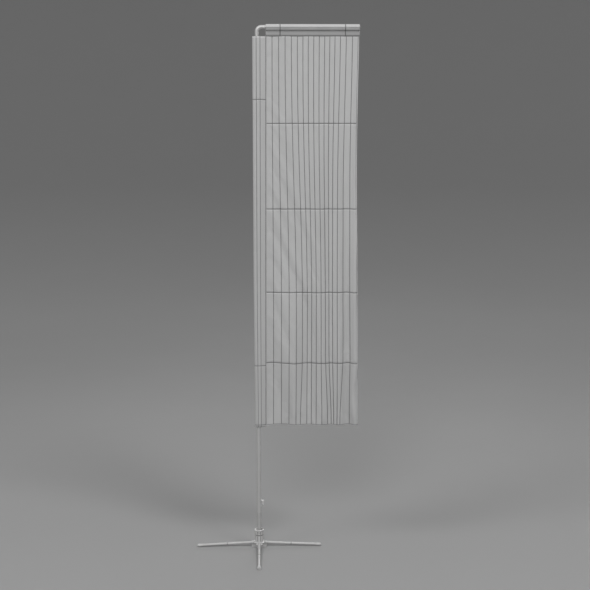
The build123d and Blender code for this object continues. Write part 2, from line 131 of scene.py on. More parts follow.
def bump(tree, height, distance, normal=None):
    inputs = {"Height": height, "Distance": distance, "Strength": 1.0}
    if normal is not None:
        inputs["Normal"] = normal
    return add_node(tree, "ShaderNodeBump", inputs).outputs["Normal"]


def grey(level, warmth=0.0):
    """A near-neutral colour; warmth tips it towards red or, when negative, blue."""
    return (level * (1 + warmth), level, level * (1 - warmth), 1.0)


def start_material(name):
    material = bpy.data.materials.new(name)
    material.use_nodes = True
    shader = material.node_tree.nodes["Principled BSDF"]
    return material, material.node_tree, shader


# ---- materials ----

SOFT_EDGE = 0.0006
STITCH_PITCH = 0.0042
STITCH_SHADE = 0.30
ORANGE_PEEL = 0.0016
EDGE_WEAR = 0.35
DRAWN_LINES = 60.0
GROOVE_HEIGHT = (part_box("bearing_housing")[1].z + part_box("rotating_collar")[0].z) / 2
FLUTE_FLOOR = 0.0268


def wave_scale(pitch):
    """The wave texture's scale at which its bands are a pitch apart."""
    return math.tau / 20 / pitch


def soft_edges(tree):
    return add_node(tree, "ShaderNodeBevel", {"Radius": SOFT_EDGE}, samples=4).outputs["Normal"]


def make_cloth(name, level, weave_pitch=0.0014):
    """Plain-weave polyester with slubs, a little sheen, and stitching where the mesh says so."""
    material, tree, shader = start_material(name)
    threads = []
    for direction in ("X", "Z"):
        inputs = {"Vector": place(tree), "Scale": wave_scale(weave_pitch), "Distortion": 0.6, "Detail": 1.0}
        inputs["Detail Scale"] = 0.4
        wave = add_node(tree, "ShaderNodeTexWave", inputs, wave_type="BANDS", bands_direction=direction)
        threads.append(wave.outputs["Fac"])
    weave = math_node(tree, "MAXIMUM", threads[0], threads[1])
    slub = grain(tree, 90.0, stretch=(1.0, 1.0, 0.08), detail=4.0)
    tone = grain(tree, 2.6, stretch=(1.6, 1.0, 0.5), detail=3.0)
    base = mix_colour(tree, remap(tree, tone, 0.3, 0.7), grey(level * 0.965), grey(level * 1.03))
    base = mix_colour(tree, remap(tree, slub, 0.25, 0.8, 0.0, 0.16), base, grey(level * 0.80))
    base = mix_colour(tree, remap(tree, weave, 0.2, 1.0, 0.14, 0.0), base, grey(level * 0.62))

    # Thread of the seams: dashes along the seam, in the attribute's own direction
    sewn = None
    for attribute, direction in (("stitch_up", "Z"), ("stitch_across", "X")):
        mask = add_node(tree, "ShaderNodeAttribute", attribute_name=attribute).outputs["Fac"]
        inputs = {"Vector": place(tree), "Scale": wave_scale(STITCH_PITCH), "Distortion": 0.0}
        dash = add_node(tree, "ShaderNodeTexWave", inputs, bands_direction=direction).outputs["Fac"]
        line = math_node(tree, "MULTIPLY", mask, remap(tree, dash, 0.10, 0.45, 0.55, 1.0))
        sewn = line if sewn is None else math_node(tree, "MAXIMUM", sewn, line)
    base = mix_colour(tree, sewn, base, grey(level * STITCH_SHADE))
    tree.links.new(base, shader.inputs["Base Color"])

    height = math_node(tree, "ADD", math_node(tree, "MULTIPLY", weave, 0.6), slub)
    surface = bump(tree, height, 0.00022)
    surface = bump(tree, sewn, 0.0007, surface)
    tree.links.new(surface, shader.inputs["Normal"])
    tree.links.new(remap(tree, slub, 0.2, 0.8, 0.70, 0.86), shader.inputs["Roughness"])
    shader.inputs["Sheen Weight"].default_value = 0.25
    shader.inputs["Sheen Roughness"].default_value = 0.45
    shader.inputs["Specular IOR Level"].default_value = 0.25
    return material


def make_coated(name, level):
    """Powder coat: fine orange peel, dust in the low spots, edges rubbed a little lighter."""
    material, tree, shader = start_material(name)
    rounded = soft_edges(tree)
    cells = grain(tree, 1 / ORANGE_PEEL, detail=2.0, roughness=0.4)
    dust = grain(tree, 24.0, detail=6.0, roughness=0.6)
    scuffs = grain(tree, 260.0, stretch=(1.0, 1.0, 0.25), detail=5.0, roughness=0.7)
    base = mix_colour(tree, remap(tree, dust, 0.35, 0.7), grey(level), grey(level * 0.86, 0.015))
    geometry = add_node(tree, "ShaderNodeNewGeometry")
    edge = remap(tree, geometry.outputs["Pointiness"], 0.52, 0.58, 0.0, EDGE_WEAR)
    base = mix_colour(tree, edge, base, grey(min(1.0, level * 1.25)))
    marks = remap(tree, scuffs, 0.64, 0.72, 0.0, 0.25)
    base = mix_colour(tree, marks, base, grey(level * 0.72))
    tree.links.new(base, shader.inputs["Base Color"])
    tree.links.new(bump(tree, cells, 0.00006, rounded), shader.inputs["Normal"])
    tree.links.new(remap(tree, dust, 0.3, 0.75, 0.42, 0.58), shader.inputs["Roughness"])
    return material


# How fine a metal's lines are along each axis: drawn lines run up and down, turned ones go round
DRAWN = (40.0, 40.0, 1.0)
TURNED = (1.0, 1.0, 40.0)
PLAIN = (1.0, 1.0, 1.0)


def painted_groove_shade(tree):
    """How much painted shade the grip gets: painted shade in its flutes and in the groove round it."""
    level_place = place(tree, (1.0, 1.0, 0.0))
    radius = add_node(tree, "ShaderNodeVectorMath", {0: level_place}, operation="LENGTH").outputs["Value"]
    flutes = remap(tree, radius, FLUTE_FLOOR, FLUTE_FLOOR + 0.0008, 0.80, 0.0)
    height = add_node(tree, "ShaderNodeSeparateXYZ", {"Vector": place(tree)}).outputs["Z"]
    away = math_node(tree, "ABSOLUTE", math_node(tree, "SUBTRACT", height, GROOVE_HEIGHT), 0.0)
    ring = remap(tree, away, 0.0030, 0.0042, 0.75, 0.0)
    return math_node(tree, "MAXIMUM", flutes, ring)


def make_metal(name, level, metallic=1.0, gloss=0.3, lines=DRAWN, groove_shaded=False):
    """Bare or anodised metal with the fine lines of its making, and painted shade in the flutes and groove of
    its grip.
    """
    material, tree, shader = start_material(name)
    rounded = soft_edges(tree)
    streaks = grain(tree, DRAWN_LINES, stretch=lines, detail=3.0)
    smudges = grain(tree, 9.0, detail=5.0, roughness=0.6)
    base = mix_colour(tree, remap(tree, smudges, 0.3, 0.72), grey(level * 1.03), grey(level * 0.90, 0.01))
    base = mix_colour(tree, remap(tree, streaks, 0.45, 0.75, 0.0, 0.22), base, grey(level * 0.78))
    if groove_shaded:
        # Painted shade: the grip's flutes and the groove round it turn dark grey
        base = mix_colour(tree, painted_groove_shade(tree), base, grey(level * 0.22, 0.02))
    tree.links.new(base, shader.inputs["Base Color"])
    tree.links.new(bump(tree, streaks, 0.00005, rounded), shader.inputs["Normal"])
    tree.links.new(remap(tree, smudges, 0.25, 0.75, gloss, gloss + 0.18), shader.inputs["Roughness"])
    shader.inputs["Metallic"].default_value = metallic
    return material


def make_moulded(name, level, roughness=0.6, pores=0.0009, depth=0.00012):
    """Moulded rubber or nylon: fine pores, scuffed patches."""
    material, tree, shader = start_material(name)
    rounded = soft_edges(tree)
    inputs = {"Vector": place(tree), "Scale": 1 / pores}
    cells = add_node(tree, "ShaderNodeTexVoronoi", inputs).outputs["Distance"]
    patches = grain(tree, 45.0, detail=5.0, roughness=0.65)
    base = mix_colour(tree, remap(tree, patches, 0.35, 0.7), grey(level), grey(level * 1.18, 0.01))
    tree.links.new(base, shader.inputs["Base Color"])
    tree.links.new(bump(tree, cells, depth, rounded), shader.inputs["Normal"])
    tree.links.new(remap(tree, patches, 0.3, 0.75, roughness, roughness + 0.2), shader.inputs["Roughness"])
    return material


MATERIALS = {
    "flag_cloth": make_cloth("flag_cloth", 0.46),
    "sleeve_cloth": make_cloth("sleeve_cloth", 0.455),
    # The seam tape's darker grey is painted shade for the band under the pocket
    "seam_tape": make_cloth("seam_tape", 0.325, weave_pitch=0.0024),
    "base_casting": make_coated("base_casting", 0.46),
    "leg_tube": make_coated("leg_tube", 0.43),
    "hook_plate": make_coated("hook_plate", 0.46),
    "turned_housing": make_metal("turned_housing", 0.60, metallic=0.25, gloss=0.34, lines=TURNED,
                                 groove_shaded=True),
    "pole_tube": make_metal("pole_tube", 0.50, metallic=0.25, gloss=0.34),
    "leg_band": make_moulded("leg_band", 0.26, roughness=0.5),
    "spindle_steel": make_metal("spindle_steel", 0.50, gloss=0.22, lines=TURNED),
    "bearing_steel": make_metal("bearing_steel", 0.62, gloss=0.12),
    "fasteners": make_metal("fasteners", 0.52, metallic=0.9, gloss=0.32, lines=PLAIN),
    "nylon": make_moulded("nylon", 0.36, roughness=0.5),
    "foot_sleeve": make_moulded("foot_sleeve", 0.36, roughness=0.48),
    "foot_rubber": make_moulded("foot_rubber", 0.42, roughness=0.68, pores=0.0012, depth=0.0002),
}

for subpart in frame["record"]["subparts"]:
    shown = frame["nodes"][subpart["node"]]
    for material_slot in shown.material_slots:
        material_slot.material = MATERIALS[subpart["material_slot"]]

# ---- mesh helpers ----


def grid_piece(name, points, around=False, attributes=None):
    """A smooth sheet through rows of points; around joins each row's ends into a loop."""
    rows, columns = points.shape[:2]
    mesh = bpy.data.meshes.new(name)
    faces = []
    last = columns if around else columns - 1
    for row in range(rows - 1):
        for column in range(last):
            right = (column + 1) % columns
            low, high = row * columns, (row + 1) * columns
            faces.append((low + column, low + right, high + right, high + column))
    mesh.from_pydata(points.reshape(-1, 3).tolist(), [], faces)
    for key, values in (attributes or {}).items():
        layer = mesh.attributes.new(key, "FLOAT", "POINT")
        layer.data.foreach_set("value", np.asarray(values, np.float32).ravel())
    mesh.polygons.foreach_set("use_smooth", [True] * len(mesh.polygons))
    mesh.update()
    piece = bpy.data.objects.new(name, mesh)
    bpy.context.scene.collection.objects.link(piece)
    return piece


def close_ends(piece, columns):
    """Caps both open ends of a looped grid piece."""
    shell = bmesh.new()
    shell.from_mesh(piece.data)
    shell.verts.ensure_lookup_table()
    total = len(shell.verts)
    shell.faces.new([shell.verts[i] for i in range(columns)][::-1])
    shell.faces.new([shell.verts[i] for i in range(total - columns, total)])
    shell.to_mesh(piece.data)
    shell.free()


def thicken(piece):
    solid = piece.modifiers.new("cloth_thickness", "SOLIDIFY")
    solid.thickness = CLOTH
    solid.offset = 0.0
    solid.use_quality_normals = True


def paint(piece, material):
    piece.data.materials.append(MATERIALS[material])


def near(value, centre, half_width, fade):
    """1 within half_width of a centre, falling to 0 over fade."""
    return np.clip(1 - (np.abs(value - centre) - half_width) / fade, 0.0, 1.0)


def smooth_step(value, start, end):
    share = np.clip((value - start) / (end - start), 0.0, 1.0)
    return share * share * (3 - 2 * share)


def unit(vectors):
    return vectors / np.linalg.norm(vectors, axis=-1, keepdims=True)


def ripple(x, z, scale, seed):
    """Smooth seeded noise over x and z, from about -1 to 1; scale is the size of a wrinkle each way."""
    spread = np.vectorize(lambda a, b: noise.noise(Vector((a / scale[0], b / scale[1], seed))))
    return spread(x, z)


def split_values(start, end, step, marks, gaps=(0.0012, 0.0026)):
    """Evenly spread values from start to end, with close pairs either side of each mark."""
    count = max(2, int(round(abs(end - start) / step)))
    values = list(np.linspace(start, end, count + 1))
    keep_off = gaps[-1] * 1.6
    values = [v for v in values if all(abs(v - m) > keep_off for m in marks) or v in (start, end)]
    for mark in marks:
        values += [mark - gaps[1], mark - gaps[0], mark, mark + gaps[0], mark + gaps[1]]
    return np.array(sorted(values, reverse=end < start))


# ---- flag: sizes from the frame ----

CLOTH = 0.0009
panel_low, panel_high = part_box("flag_panel")
sleeve_low, sleeve_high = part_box("pole_sleeve")
top_low, top_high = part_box("top_sleeve")
arm_low, arm_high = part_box("arm_tube")

FLAG_TOP = panel_high.z
FLAG_BOTTOM = panel_low.z + 0.006
FLY_EDGE = panel_high.x
SEAM_TOP = sleeve_high.x
SEAM_BOTTOM = panel_low.x
PANEL_HEIGHT = FLAG_TOP - FLAG_BOTTOM
PANEL_TUCK = 0.008

# Seams across the panel, as shares of its height, and the pressed lines between the strips that run down it
CROSS_SEAMS = (0.2155, 0.4322, 0.6482, 0.8345)
SEAM_HALF = 0.0008
STRIPS = 16
STEPS_IN_STRIP = 6
LINE_HALF = 0.0018
LINE_FADE = 0.0014
ROW_STEP = 0.0045

# The free edge: room for its hem, how far it is drawn in below the top corner, and let out again lower down
FLY_ROOM = 0.0025
FLY_DRAWN_IN = 0.010
FLY_LET_OUT = 0.009

# How the lines below the lowest seam lean: at a share of the width, over a share, by a share
LEAN_START = 0.80
LEANS = ((0.40, 0.035, -0.018), (0.67, 0.07, 0.028), (0.85, 0.05, -0.036))

# Folds: one broad bulge forward and ripples that tighten towards the fly edge
BULGE_DEPTH = 0.046
BULGE_TURN = 2.2
RIPPLE_DEPTH = 0.018
RIPPLE_PITCH = 0.28
RIPPLE_POWER = 1.9
RIPPLE_START = 0.34

# Wrinkles: depth, size across and down, and seed; first slow unevenness, then fine creases
WRINKLES = ((0.0045, (0.16, 0.75), 3.1), (0.0016, (0.045, 0.22), 8.7))
DRAG_DEPTH = 0.0012
DRAG_SPREAD = 0.35
DRAG_PITCH = 0.021
PUCKER_DEPTH = 0.0011
PUCKER_REACH = 0.030
SEAM_SINK = 0.0014
LINE_SINK = 0.0008
HANG_DEPTH = 0.0028
HANG_SIZE = (0.11, 1.0)
HANG_SEED = 41.0
CORNER_DROP = 0.010

# The panel settles as simulated cloth: the spacing of its coarse copy, as a share of its height, and the
# frames it hangs for; the most that a point may move; how much longer the cloth is than the space it is sewn
# into; how firmly it is held in its folds; and the shares of its movement across, in depth and down that are
# kept, as the panel is cut to hang at its full length
SETTLE_STEP = 0.0052
SETTLE_FRAMES = 24
SETTLE_REACH = 0.012
SLACK = 0.006
HOLD_TIGHT = 0.20
HOLD_LOOSE = 0.06
SETTLE_KEPT = (0.15, 0.6, 0.0)


def hoist_line(down):
    """x of the seam between pole sleeve and panel, at a share of the way down."""
    return SEAM_TOP + (SEAM_BOTTOM - SEAM_TOP) * down


def hump(value, centre, spread):
    """1 at the centre, falling away smoothly either side."""
    return np.exp(-(((value - centre) / spread) ** 2))


def fly_line(down):
    """x of the free edge, drawn in below the top corner and let out towards the bottom."""
    drawn_in = FLY_DRAWN_IN * hump(down, 0.28, 0.22)
    return FLY_EDGE - FLY_ROOM - drawn_in + FLY_LET_OUT * smooth_step(down, 0.45, 1.0)


def strip_shares(down):
    """Shares of the width at which the strips' edges lie; lower down they gather towards the folds.

    A strip's share is found from how wide the cloth shows at each step across the panel.
    """
    steps = np.linspace(0.0, 1.0, 161)
    gather = 0.13 + 0.29 * smooth_step(down, 0.0, 0.68)
    close_up = 0.75 * hump(steps, 0.36, 0.11) - 0.45 * hump(steps, 0.56, 0.08)
    width = 1 + gather * (np.cos(math.tau * steps ** 1.6) - close_up)
    reached = np.concatenate(([0.0], np.cumsum((width[1:] + width[:-1]) / 2)))
    shares = np.interp(np.linspace(0.0, 1.0, STRIPS + 1), steps, reached / reached[-1])
    for centre, spread, lean in LEANS:
        shares += lean * smooth_step(down, LEAN_START, 1.0) * hump(shares, centre, spread)
    return shares


def fold_depth(share, down):
    """How far forward the cloth stands at a share of its width and height."""
    grown = down ** 1.15
    bulge = BULGE_DEPTH * np.sin(BULGE_TURN * share)
    drift = 0.10 * (1 - down)
    phase = math.tau * (share ** RIPPLE_POWER / RIPPLE_PITCH - RIPPLE_START + drift)
    ripples = RIPPLE_DEPTH * np.minimum(1.0, 3 * share) * np.cos(phase)
    return grown * (bulge + ripples)


def hang_as_cloth(start, holds):
    """Where a sheet's points are once it has hung as real cloth, each held as firmly as its hold says."""
    copy = grid_piece("settling_panel", start)
    held = copy.vertex_groups.new(name="held")
    for number, hold in enumerate(holds.ravel()):
        held.add([number], hold, "REPLACE")
    cloth = copy.modifiers.new("cloth", "CLOTH")
    cloth.settings.quality = 6
    cloth.settings.mass = 0.02
    cloth.settings.tension_stiffness = 12.0
    cloth.settings.compression_stiffness = 12.0
    cloth.settings.shear_stiffness = 4.0
    cloth.settings.bending_stiffness = 0.02
    cloth.settings.air_damping = 2.0
    cloth.settings.shrink_min = -SLACK
    cloth.settings.vertex_group_mass = "held"
    cloth.settings.pin_stiffness = 1.0
    cloth.point_cache.frame_end = SETTLE_FRAMES
    for moment in range(1, SETTLE_FRAMES + 1):
        bpy.context.scene.frame_set(moment)
    settled = copy.evaluated_get(bpy.context.evaluated_depsgraph_get()).to_mesh()
    reached = np.zeros(start.size)
    settled.vertices.foreach_get("co", reached)
    bpy.data.objects.remove(copy)
    bpy.context.scene.frame_set(1)
    return reached.reshape(start.shape)


def settle(points, down_values, places):
    """How far each point of the panel moves when a coarse copy of it hangs.

    Its top and hoist edges are sewn fast, and the rest is held ever more loosely towards the free edges.
    """
    wanted = np.arange(0.0, 1.0 + SETTLE_STEP / 2, SETTLE_STEP)
    rows = sorted({int(np.argmin(np.abs(down_values - value))) for value in wanted})
    # Every third of a strip, leaving out the close columns beside each line
    whole = np.abs(places * 3 - np.round(places * 3)) < 1e-6
    first = np.concatenate(([True], np.diff(places) > 1e-6))
    columns = np.flatnonzero(whole & first)
    start = points[np.ix_(rows, columns)]
    downs, shares = np.meshgrid(down_values[rows], places[columns] / STRIPS, indexing="ij")
    holds = HOLD_LOOSE + (HOLD_TIGHT - HOLD_LOOSE) * (1 - downs) * (1 - shares)
    holds[0] = holds[:, 0] = 1.0
    move = (hang_as_cloth(start, holds) - start) * SETTLE_KEPT
    length = np.linalg.norm(move, axis=-1, keepdims=True)
    move *= np.minimum(1.0, SETTLE_REACH / np.maximum(length, 1e-9))

    # Back to every point of the panel: across each coarse row first, then down each column
    spread = np.zeros((len(rows), len(places), 3))
    full = np.zeros(points.shape)
    for axis in range(3):
        for row in range(len(rows)):
            spread[row, :, axis] = np.interp(places, places[columns], move[row, :, axis])
        for column in range(len(places)):
            full[:, column, axis] = np.interp(down_values, down_values[rows], spread[:, column, axis])
    return full


def panel_columns():
    """Each column's place, counted in strips, and how far it lies from that place, in metres.

    A strip has plain steps inside it, and close pairs of columns beside the lines at its edges.
    """
    columns = []
    for strip in range(STRIPS):
        columns += [(strip, 0.0), (strip, LINE_HALF), (strip, LINE_HALF + LINE_FADE)]
        columns += [(strip + inner / STEPS_IN_STRIP, 0.0) for inner in range(1, STEPS_IN_STRIP)]
        columns += [(strip + 1, -LINE_HALF - LINE_FADE), (strip + 1, -LINE_HALF)]
    columns += [(STRIPS, 0.0)]
    return np.array(columns).T


def make_panel():
    down_values = split_values(0.0, 1.0, ROW_STEP, CROSS_SEAMS, gaps=(SEAM_HALF, SEAM_HALF + 0.0006))
    places, offsets = panel_columns()
    points = np.zeros((len(down_values), len(places), 3))
    up_lines = np.zeros(points.shape[:2])
    across_lines = np.zeros(points.shape[:2])
    for row, down in enumerate(down_values):
        left, right = hoist_line(down), fly_line(down)
        shares = np.interp(places, np.arange(STRIPS + 1), strip_shares(down))
        x = left + (right - left) * shares + offsets
        share = (x - left) / (right - left)
        points[row, :, 0] = x
        points[row, :, 1] = -fold_depth(share, down)
        points[row, :, 2] = FLAG_TOP - PANEL_HEIGHT * down
        on_line = (np.abs(offsets) < LINE_HALF * 1.1) & (np.abs(places - np.round(places)) < 1e-6)
        inner = (np.round(places) > 0) & (np.round(places) < STRIPS)
        up_lines[row] = (on_line & inner).astype(float)
        across_lines[row] = max(near(down, seam, SEAM_HALF, 0.0005) for seam in CROSS_SEAMS)

    points += settle(points, down_values, places)
    x, z = points[..., 0], points[..., 2]
    down = (FLAG_TOP - z) / PANEL_HEIGHT
    # Wrinkles die out at the two sewn edges
    free = smooth_step(x - hoist_line(down), 0.004, 0.040)
    soft = smooth_step(down, 0.0, 0.06) * free
    for depth, size, seed in WRINKLES:
        points[..., 1] += soft * depth * ripple(x, z, size, seed)
    # Drag wrinkles that run down and out from the top hoist corner
    corner = np.exp(-(((x - SEAM_TOP) + (FLAG_TOP - z)) / DRAG_SPREAD))
    drag = np.sin(((x - SEAM_TOP) * 0.8 - (FLAG_TOP - z)) / DRAG_PITCH)
    points[..., 1] += DRAG_DEPTH * free * corner * drag
    # Puckers beside each cross seam, and thread drawn in along every sewn line
    for seam in CROSS_SEAMS:
        beside = np.exp(-np.abs(down - seam) * PANEL_HEIGHT / PUCKER_REACH)
        points[..., 1] += PUCKER_DEPTH * free * beside * ripple(x, z, (0.022, 0.20), 20 + 10 * seam)
        points[..., 1] += SEAM_SINK * near(down, seam, SEAM_HALF, 0.0006)
    points[..., 1] += LINE_SINK * up_lines
    # The wavy hang of the lower edge and of the cross seams
    hang = ripple(x, z * 0 + 0.5, HANG_SIZE, HANG_SEED)
    points[..., 2] += HANG_DEPTH * hang * smooth_step(down, 0.3, 1.0)
    # The hoist corner hangs a little lower than the rest of the lower edge
    points[..., 2] -= CORNER_DROP * smooth_step(down, 0.80, 1.0) * hump(x, SEAM_BOTTOM, 0.10)
    # The top edge is tucked up between the two faces of the seam tape
    points[..., 2] += PANEL_TUCK * np.exp(-((FLAG_TOP - z) / 0.02))

    stitches = {"stitch_up": up_lines, "stitch_across": across_lines}
    panel = grid_piece("flag_panel_cloth", points, attributes=stitches)
    thicken(panel)
    paint(panel, "flag_cloth")
    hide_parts("flag_panel")
    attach(panel, "mast")
    return panel, points


HEM_WIDTH = 0.008
HEM_THICKNESS = 0.0027
# One face of the hem, from its sewn edge to its fold: share of the width, of the thickness, and of the thread
HEM_FACE = ((1.0, 0.38, 0.6), (0.86, 0.44, 1.0), (0.62, 0.38, 1.0), (0.48, 0.50, 0.0), (0.2, 0.5, 0.0),
            (-0.02, 0.36, 0.0))
HEM_FOLD = (-0.08, 0.0, 0.0)


def make_hem(name, edge, inward, normals):
    """A narrow rolled hem wrapped over an edge of the panel, with its stitching."""
    profile = [*HEM_FACE, HEM_FOLD, *[(reach, -stand, sewn) for reach, stand, sewn in reversed(HEM_FACE)]]
    points = np.zeros((len(edge), len(profile), 3))
    stitched = np.zeros(points.shape[:2])
    for column, (reach, stand, sewn) in enumerate(profile):
        points[:, column] = edge + inward * (reach * HEM_WIDTH) + normals * (stand * HEM_THICKNESS)
        stitched[:, column] = sewn
    key = "stitch_up" if name.startswith("fly") else "stitch_across"
    hem = grid_piece(name, points, around=True, attributes={key: stitched})
    paint(hem, "flag_cloth")
    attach(hem, "mast")
    return hem


def make_hems(points):
    along = unit(np.gradient(points[-1], axis=0))
    inward = unit(points[-4] - points[-1])
    bottom = make_hem("bottom_hem", points[-1], inward, unit(np.cross(along, inward)))
    down = unit(np.gradient(points[:, -1], axis=0))
    inward = unit(points[:, -5] - points[:, -1])
    fly = make_hem("fly_hem", points[:, -1], inward, unit(np.cross(down, inward)))
    return [bottom, fly]


# ---- pole sleeve ----

SLEEVE_DEPTH = 0.0164
SLEEVE_HOIST_TOP = sleeve_low.x
SLEEVE_HOIST_BOTTOM = sleeve_low.x + 0.006
SLEEVE_PATCH_TOP = 0.411
SLEEVE_PATCH_BOTTOM = 0.434
SLEEVE_HEM = 0.014

# Sewn lines down each face, as shares of its width, and the columns kept close beside them
SLEEVE_LINES = (0.29, 0.58)
BESIDE_LINE = (-0.034, -0.017, 0.0, 0.017, 0.034)
CLEAR_OF_LINE = 0.045
SLEEVE_LINE_HALF = 0.0187
SLEEVE_LINE_FADE = 0.012

# Slack wrinkles in the sleeve: depth, size across and down, and seed
SLEEVE_WRINKLES = ((0.0013, (0.05, 0.30), 5.5), (0.0007, (0.02, 0.07), 15.5))


def sleeve_shares():
    """Shares of the sleeve's width across one face, close together either side of each sewn line."""
    rounded = (1 - np.cos(np.linspace(0, math.pi, 40))) / 2
    kept = [v for v in rounded if all(abs(v - line) > CLEAR_OF_LINE for line in SLEEVE_LINES)]
    for line in SLEEVE_LINES:
        kept += [line + beside for beside in BESIDE_LINE]
    return np.array(sorted(kept))


def make_pole_sleeve():
    """A loose tube of cloth round the pole, drawn flat at its seam, doubled near both ends."""
    top, bottom = sleeve_high.z, sleeve_low.z
    marks = [top - SLEEVE_PATCH_TOP, bottom + SLEEVE_PATCH_BOTTOM, bottom + SLEEVE_HEM]
    heights = split_values(top, bottom, 0.012, marks, gaps=(0.0018, 0.0032))
    face_shares = sleeve_shares()
    share = np.concatenate((face_shares, face_shares[-2:0:-1]))
    loop = len(share)
    side = np.where(np.arange(loop) < len(face_shares), -1.0, 1.0)
    round_part = np.sin(math.pi * share ** 0.6).clip(0.0) ** 0.75
    points = np.zeros((len(heights), loop, 3))
    across = np.zeros(points.shape[:2])
    upward = np.zeros(points.shape[:2])
    for row, z in enumerate(heights):
        down = (top - z) / (top - bottom)
        left = SLEEVE_HOIST_TOP + (SLEEVE_HOIST_BOTTOM - SLEEVE_HOIST_TOP) * smooth_step(down, 0.55, 1.0)
        right = hoist_line(min(1.0, down))
        points[row, :, 0] = left + (right - left) * share
        points[row, :, 1] = side * SLEEVE_DEPTH * round_part
        points[row, :, 2] = z
        across[row] = max(near(z, mark, 0.0020, 0.0012) for mark in marks)
    # Two sewn lines down each face of the sleeve
    lines = [near(share, line, SLEEVE_LINE_HALF, SLEEVE_LINE_FADE) for line in SLEEVE_LINES]
    upward[:] = np.max(lines, axis=0)
    x, y, z = points[..., 0], points[..., 1], points[..., 2]
    outward = unit(np.stack((2 * share - 1, side * round_part + 1e-6), axis=1))
    free = np.clip(round_part, 0.0, 1.0)
    # The two faces wrinkle differently; patches stand out, and thread draws the cloth in
    face = x + 0.4 * np.sign(y)
    swell = sum(depth * ripple(face, z, size, seed) for depth, size, seed in SLEEVE_WRINKLES)
    patch = np.maximum(smooth_step(z, marks[0] - 0.001, marks[0] + 0.001),
                       1 - smooth_step(z, marks[1] - 0.001, marks[1] + 0.001))
    swell = swell * free + 0.0005 * patch - 0.0007 * across - 0.0006 * upward
    points[..., 0] += swell * outward[None, :, 0] * 0.6
    points[..., 1] += swell * outward[None, :, 1]
    stitches = {"stitch_up": upward, "stitch_across": across}
    sleeve = grid_piece("pole_sleeve_cloth", points, around=True, attributes=stitches)
    thicken(sleeve)
    paint(sleeve, "sleeve_cloth")
    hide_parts("pole_sleeve")
    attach(sleeve, "mast")
    return sleeve


# A quarter of the hoist seam's section, from its edge to the middle of its groove: x, y and thread
SEAM_QUARTER = ((-0.0064, 0.0, 0.0), (-0.0060, 0.0021, 0.0), (-0.0046, 0.0023, 0.0), (-0.0038, 0.0015, 1.0),
                (-0.0014, 0.0013, 1.0))


def make_hoist_seam():
    """The flat seam that joins panel and sleeve: a folded strip sewn down in a groove between two lips."""
    heights = np.linspace(sleeve_high.z - 0.001, panel_low.z + 0.001, 260)
    back = [*SEAM_QUARTER, *[(-offset, stand, sewn) for offset, stand, sewn in reversed(SEAM_QUARTER)]]
    profile = [(offset, -stand, sewn) for offset, stand, sewn in back]
    profile += back[-2:0:-1]
    points = np.zeros((len(heights), len(profile), 3))
    stitched = np.zeros(points.shape[:2])
    for row, z in enumerate(heights):
        down = (FLAG_TOP - z) / PANEL_HEIGHT
        centre = hoist_line(min(1.0, max(0.0, down)))
        depth = 0.0004 * noise.noise(Vector((z / 0.05, 0.0, 9.0)))
        for column, (offset, stand, sewn) in enumerate(profile):
            points[row, column] = (centre + offset, stand + depth, z)
            stitched[row, column] = sewn
    seam = grid_piece("hoist_seam", points, around=True, attributes={"stitch_up": stitched})
    paint(seam, "sleeve_cloth")
    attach(seam, "mast")
    return seam


# ---- top sleeve ----

ARM_CENTRE = (arm_low.z + arm_high.z) / 2
ARM_RADIUS = (arm_high.z - arm_low.z) / 2
POCKET_RADIUS = top_high.z - ARM_CENTRE - 0.0006
POCKET_STITCH = ARM_CENTRE - 0.0225
POCKET_ROUNDNESS = 1.5
# The slack side of the pocket, as shares of its radius: where it leaves the stitching, how far its tight
# curve brings it out, and how far it then flares up to the arm's height
NECK_REACH = 0.36
CURVE_REACH = 0.19
FLARE_REACH = 0.45
# The lower edge of the doubled band over the pocket, from the arm's centre line, and its stitching
BAND_EDGE = -0.0052
BAND_THREAD = 0.0032
FLAP_END = FLAG_TOP + 0.002
END_PATCH = 0.095
PATCH_EDGES = (top_low.x + END_PATCH, top_high.x - END_PATCH)
PATCH_GAPS = (0.0028, 0.0042)
PATCH_THREAD = (0.0030, 0.0010)
# Size and seed of the slow waver that the pocket's lower part and the tape share
TAPE_WAVER = ((0.12, 1.0), 33.0)


def pocket_reach(angle):
    """Distance from the arm's centre line to the pocket, at an angle from straight up: a slack tent."""
    side, rise = np.abs(np.sin(angle)), np.abs(np.cos(angle))
    return POCKET_RADIUS / (side ** POCKET_ROUNDNESS + rise ** POCKET_ROUNDNESS) ** (1 / POCKET_ROUNDNESS)


def top_profile():
    """Section of the top sleeve: flap, stitched neck, pocket over the arm, and back down the other side.

    Each entry is y, z, how strongly it is stitched, and 1 where the doubled band makes it stand out.
    """
    front = [(-0.0011, z, 0.0, 0.0) for z in np.linspace(FLAP_END, POCKET_STITCH - 0.003, 7)]
    front += [(-0.0010, POCKET_STITCH - 0.0012, 0.1, 0.0), (-0.0012, POCKET_STITCH + 0.0010, 0.1, 0.0)]
    front += [(-0.0050, POCKET_STITCH + 0.0014, 0.0, 0.0)]
    rise = ARM_CENTRE - POCKET_STITCH - 0.0014
    for share in np.linspace(0.0, 1.0, 17)[1:] ** 1.8:
        left = 1 - share
        reach = POCKET_RADIUS * (NECK_REACH + CURVE_REACH * (1 - left ** 25) + FLARE_REACH * (1 - left ** 2))
        lifted = rise * (share - 1)
        sewn = 0.6 * float(BAND_EDGE < lifted < BAND_EDGE + BAND_THREAD)
        front.append((-reach, ARM_CENTRE + lifted, sewn, float(lifted > BAND_EDGE)))
    arc = []
    for angle in np.linspace(-math.pi / 2, math.pi / 2, 45)[1:-1]:
        reach = pocket_reach(angle)
        arc.append((reach * math.sin(angle), ARM_CENTRE + reach * math.cos(angle), 0.0, 1.0))
    back = [(-y, z, sewn, doubled) for y, z, sewn, doubled in reversed(front)]
    return front + arc + back


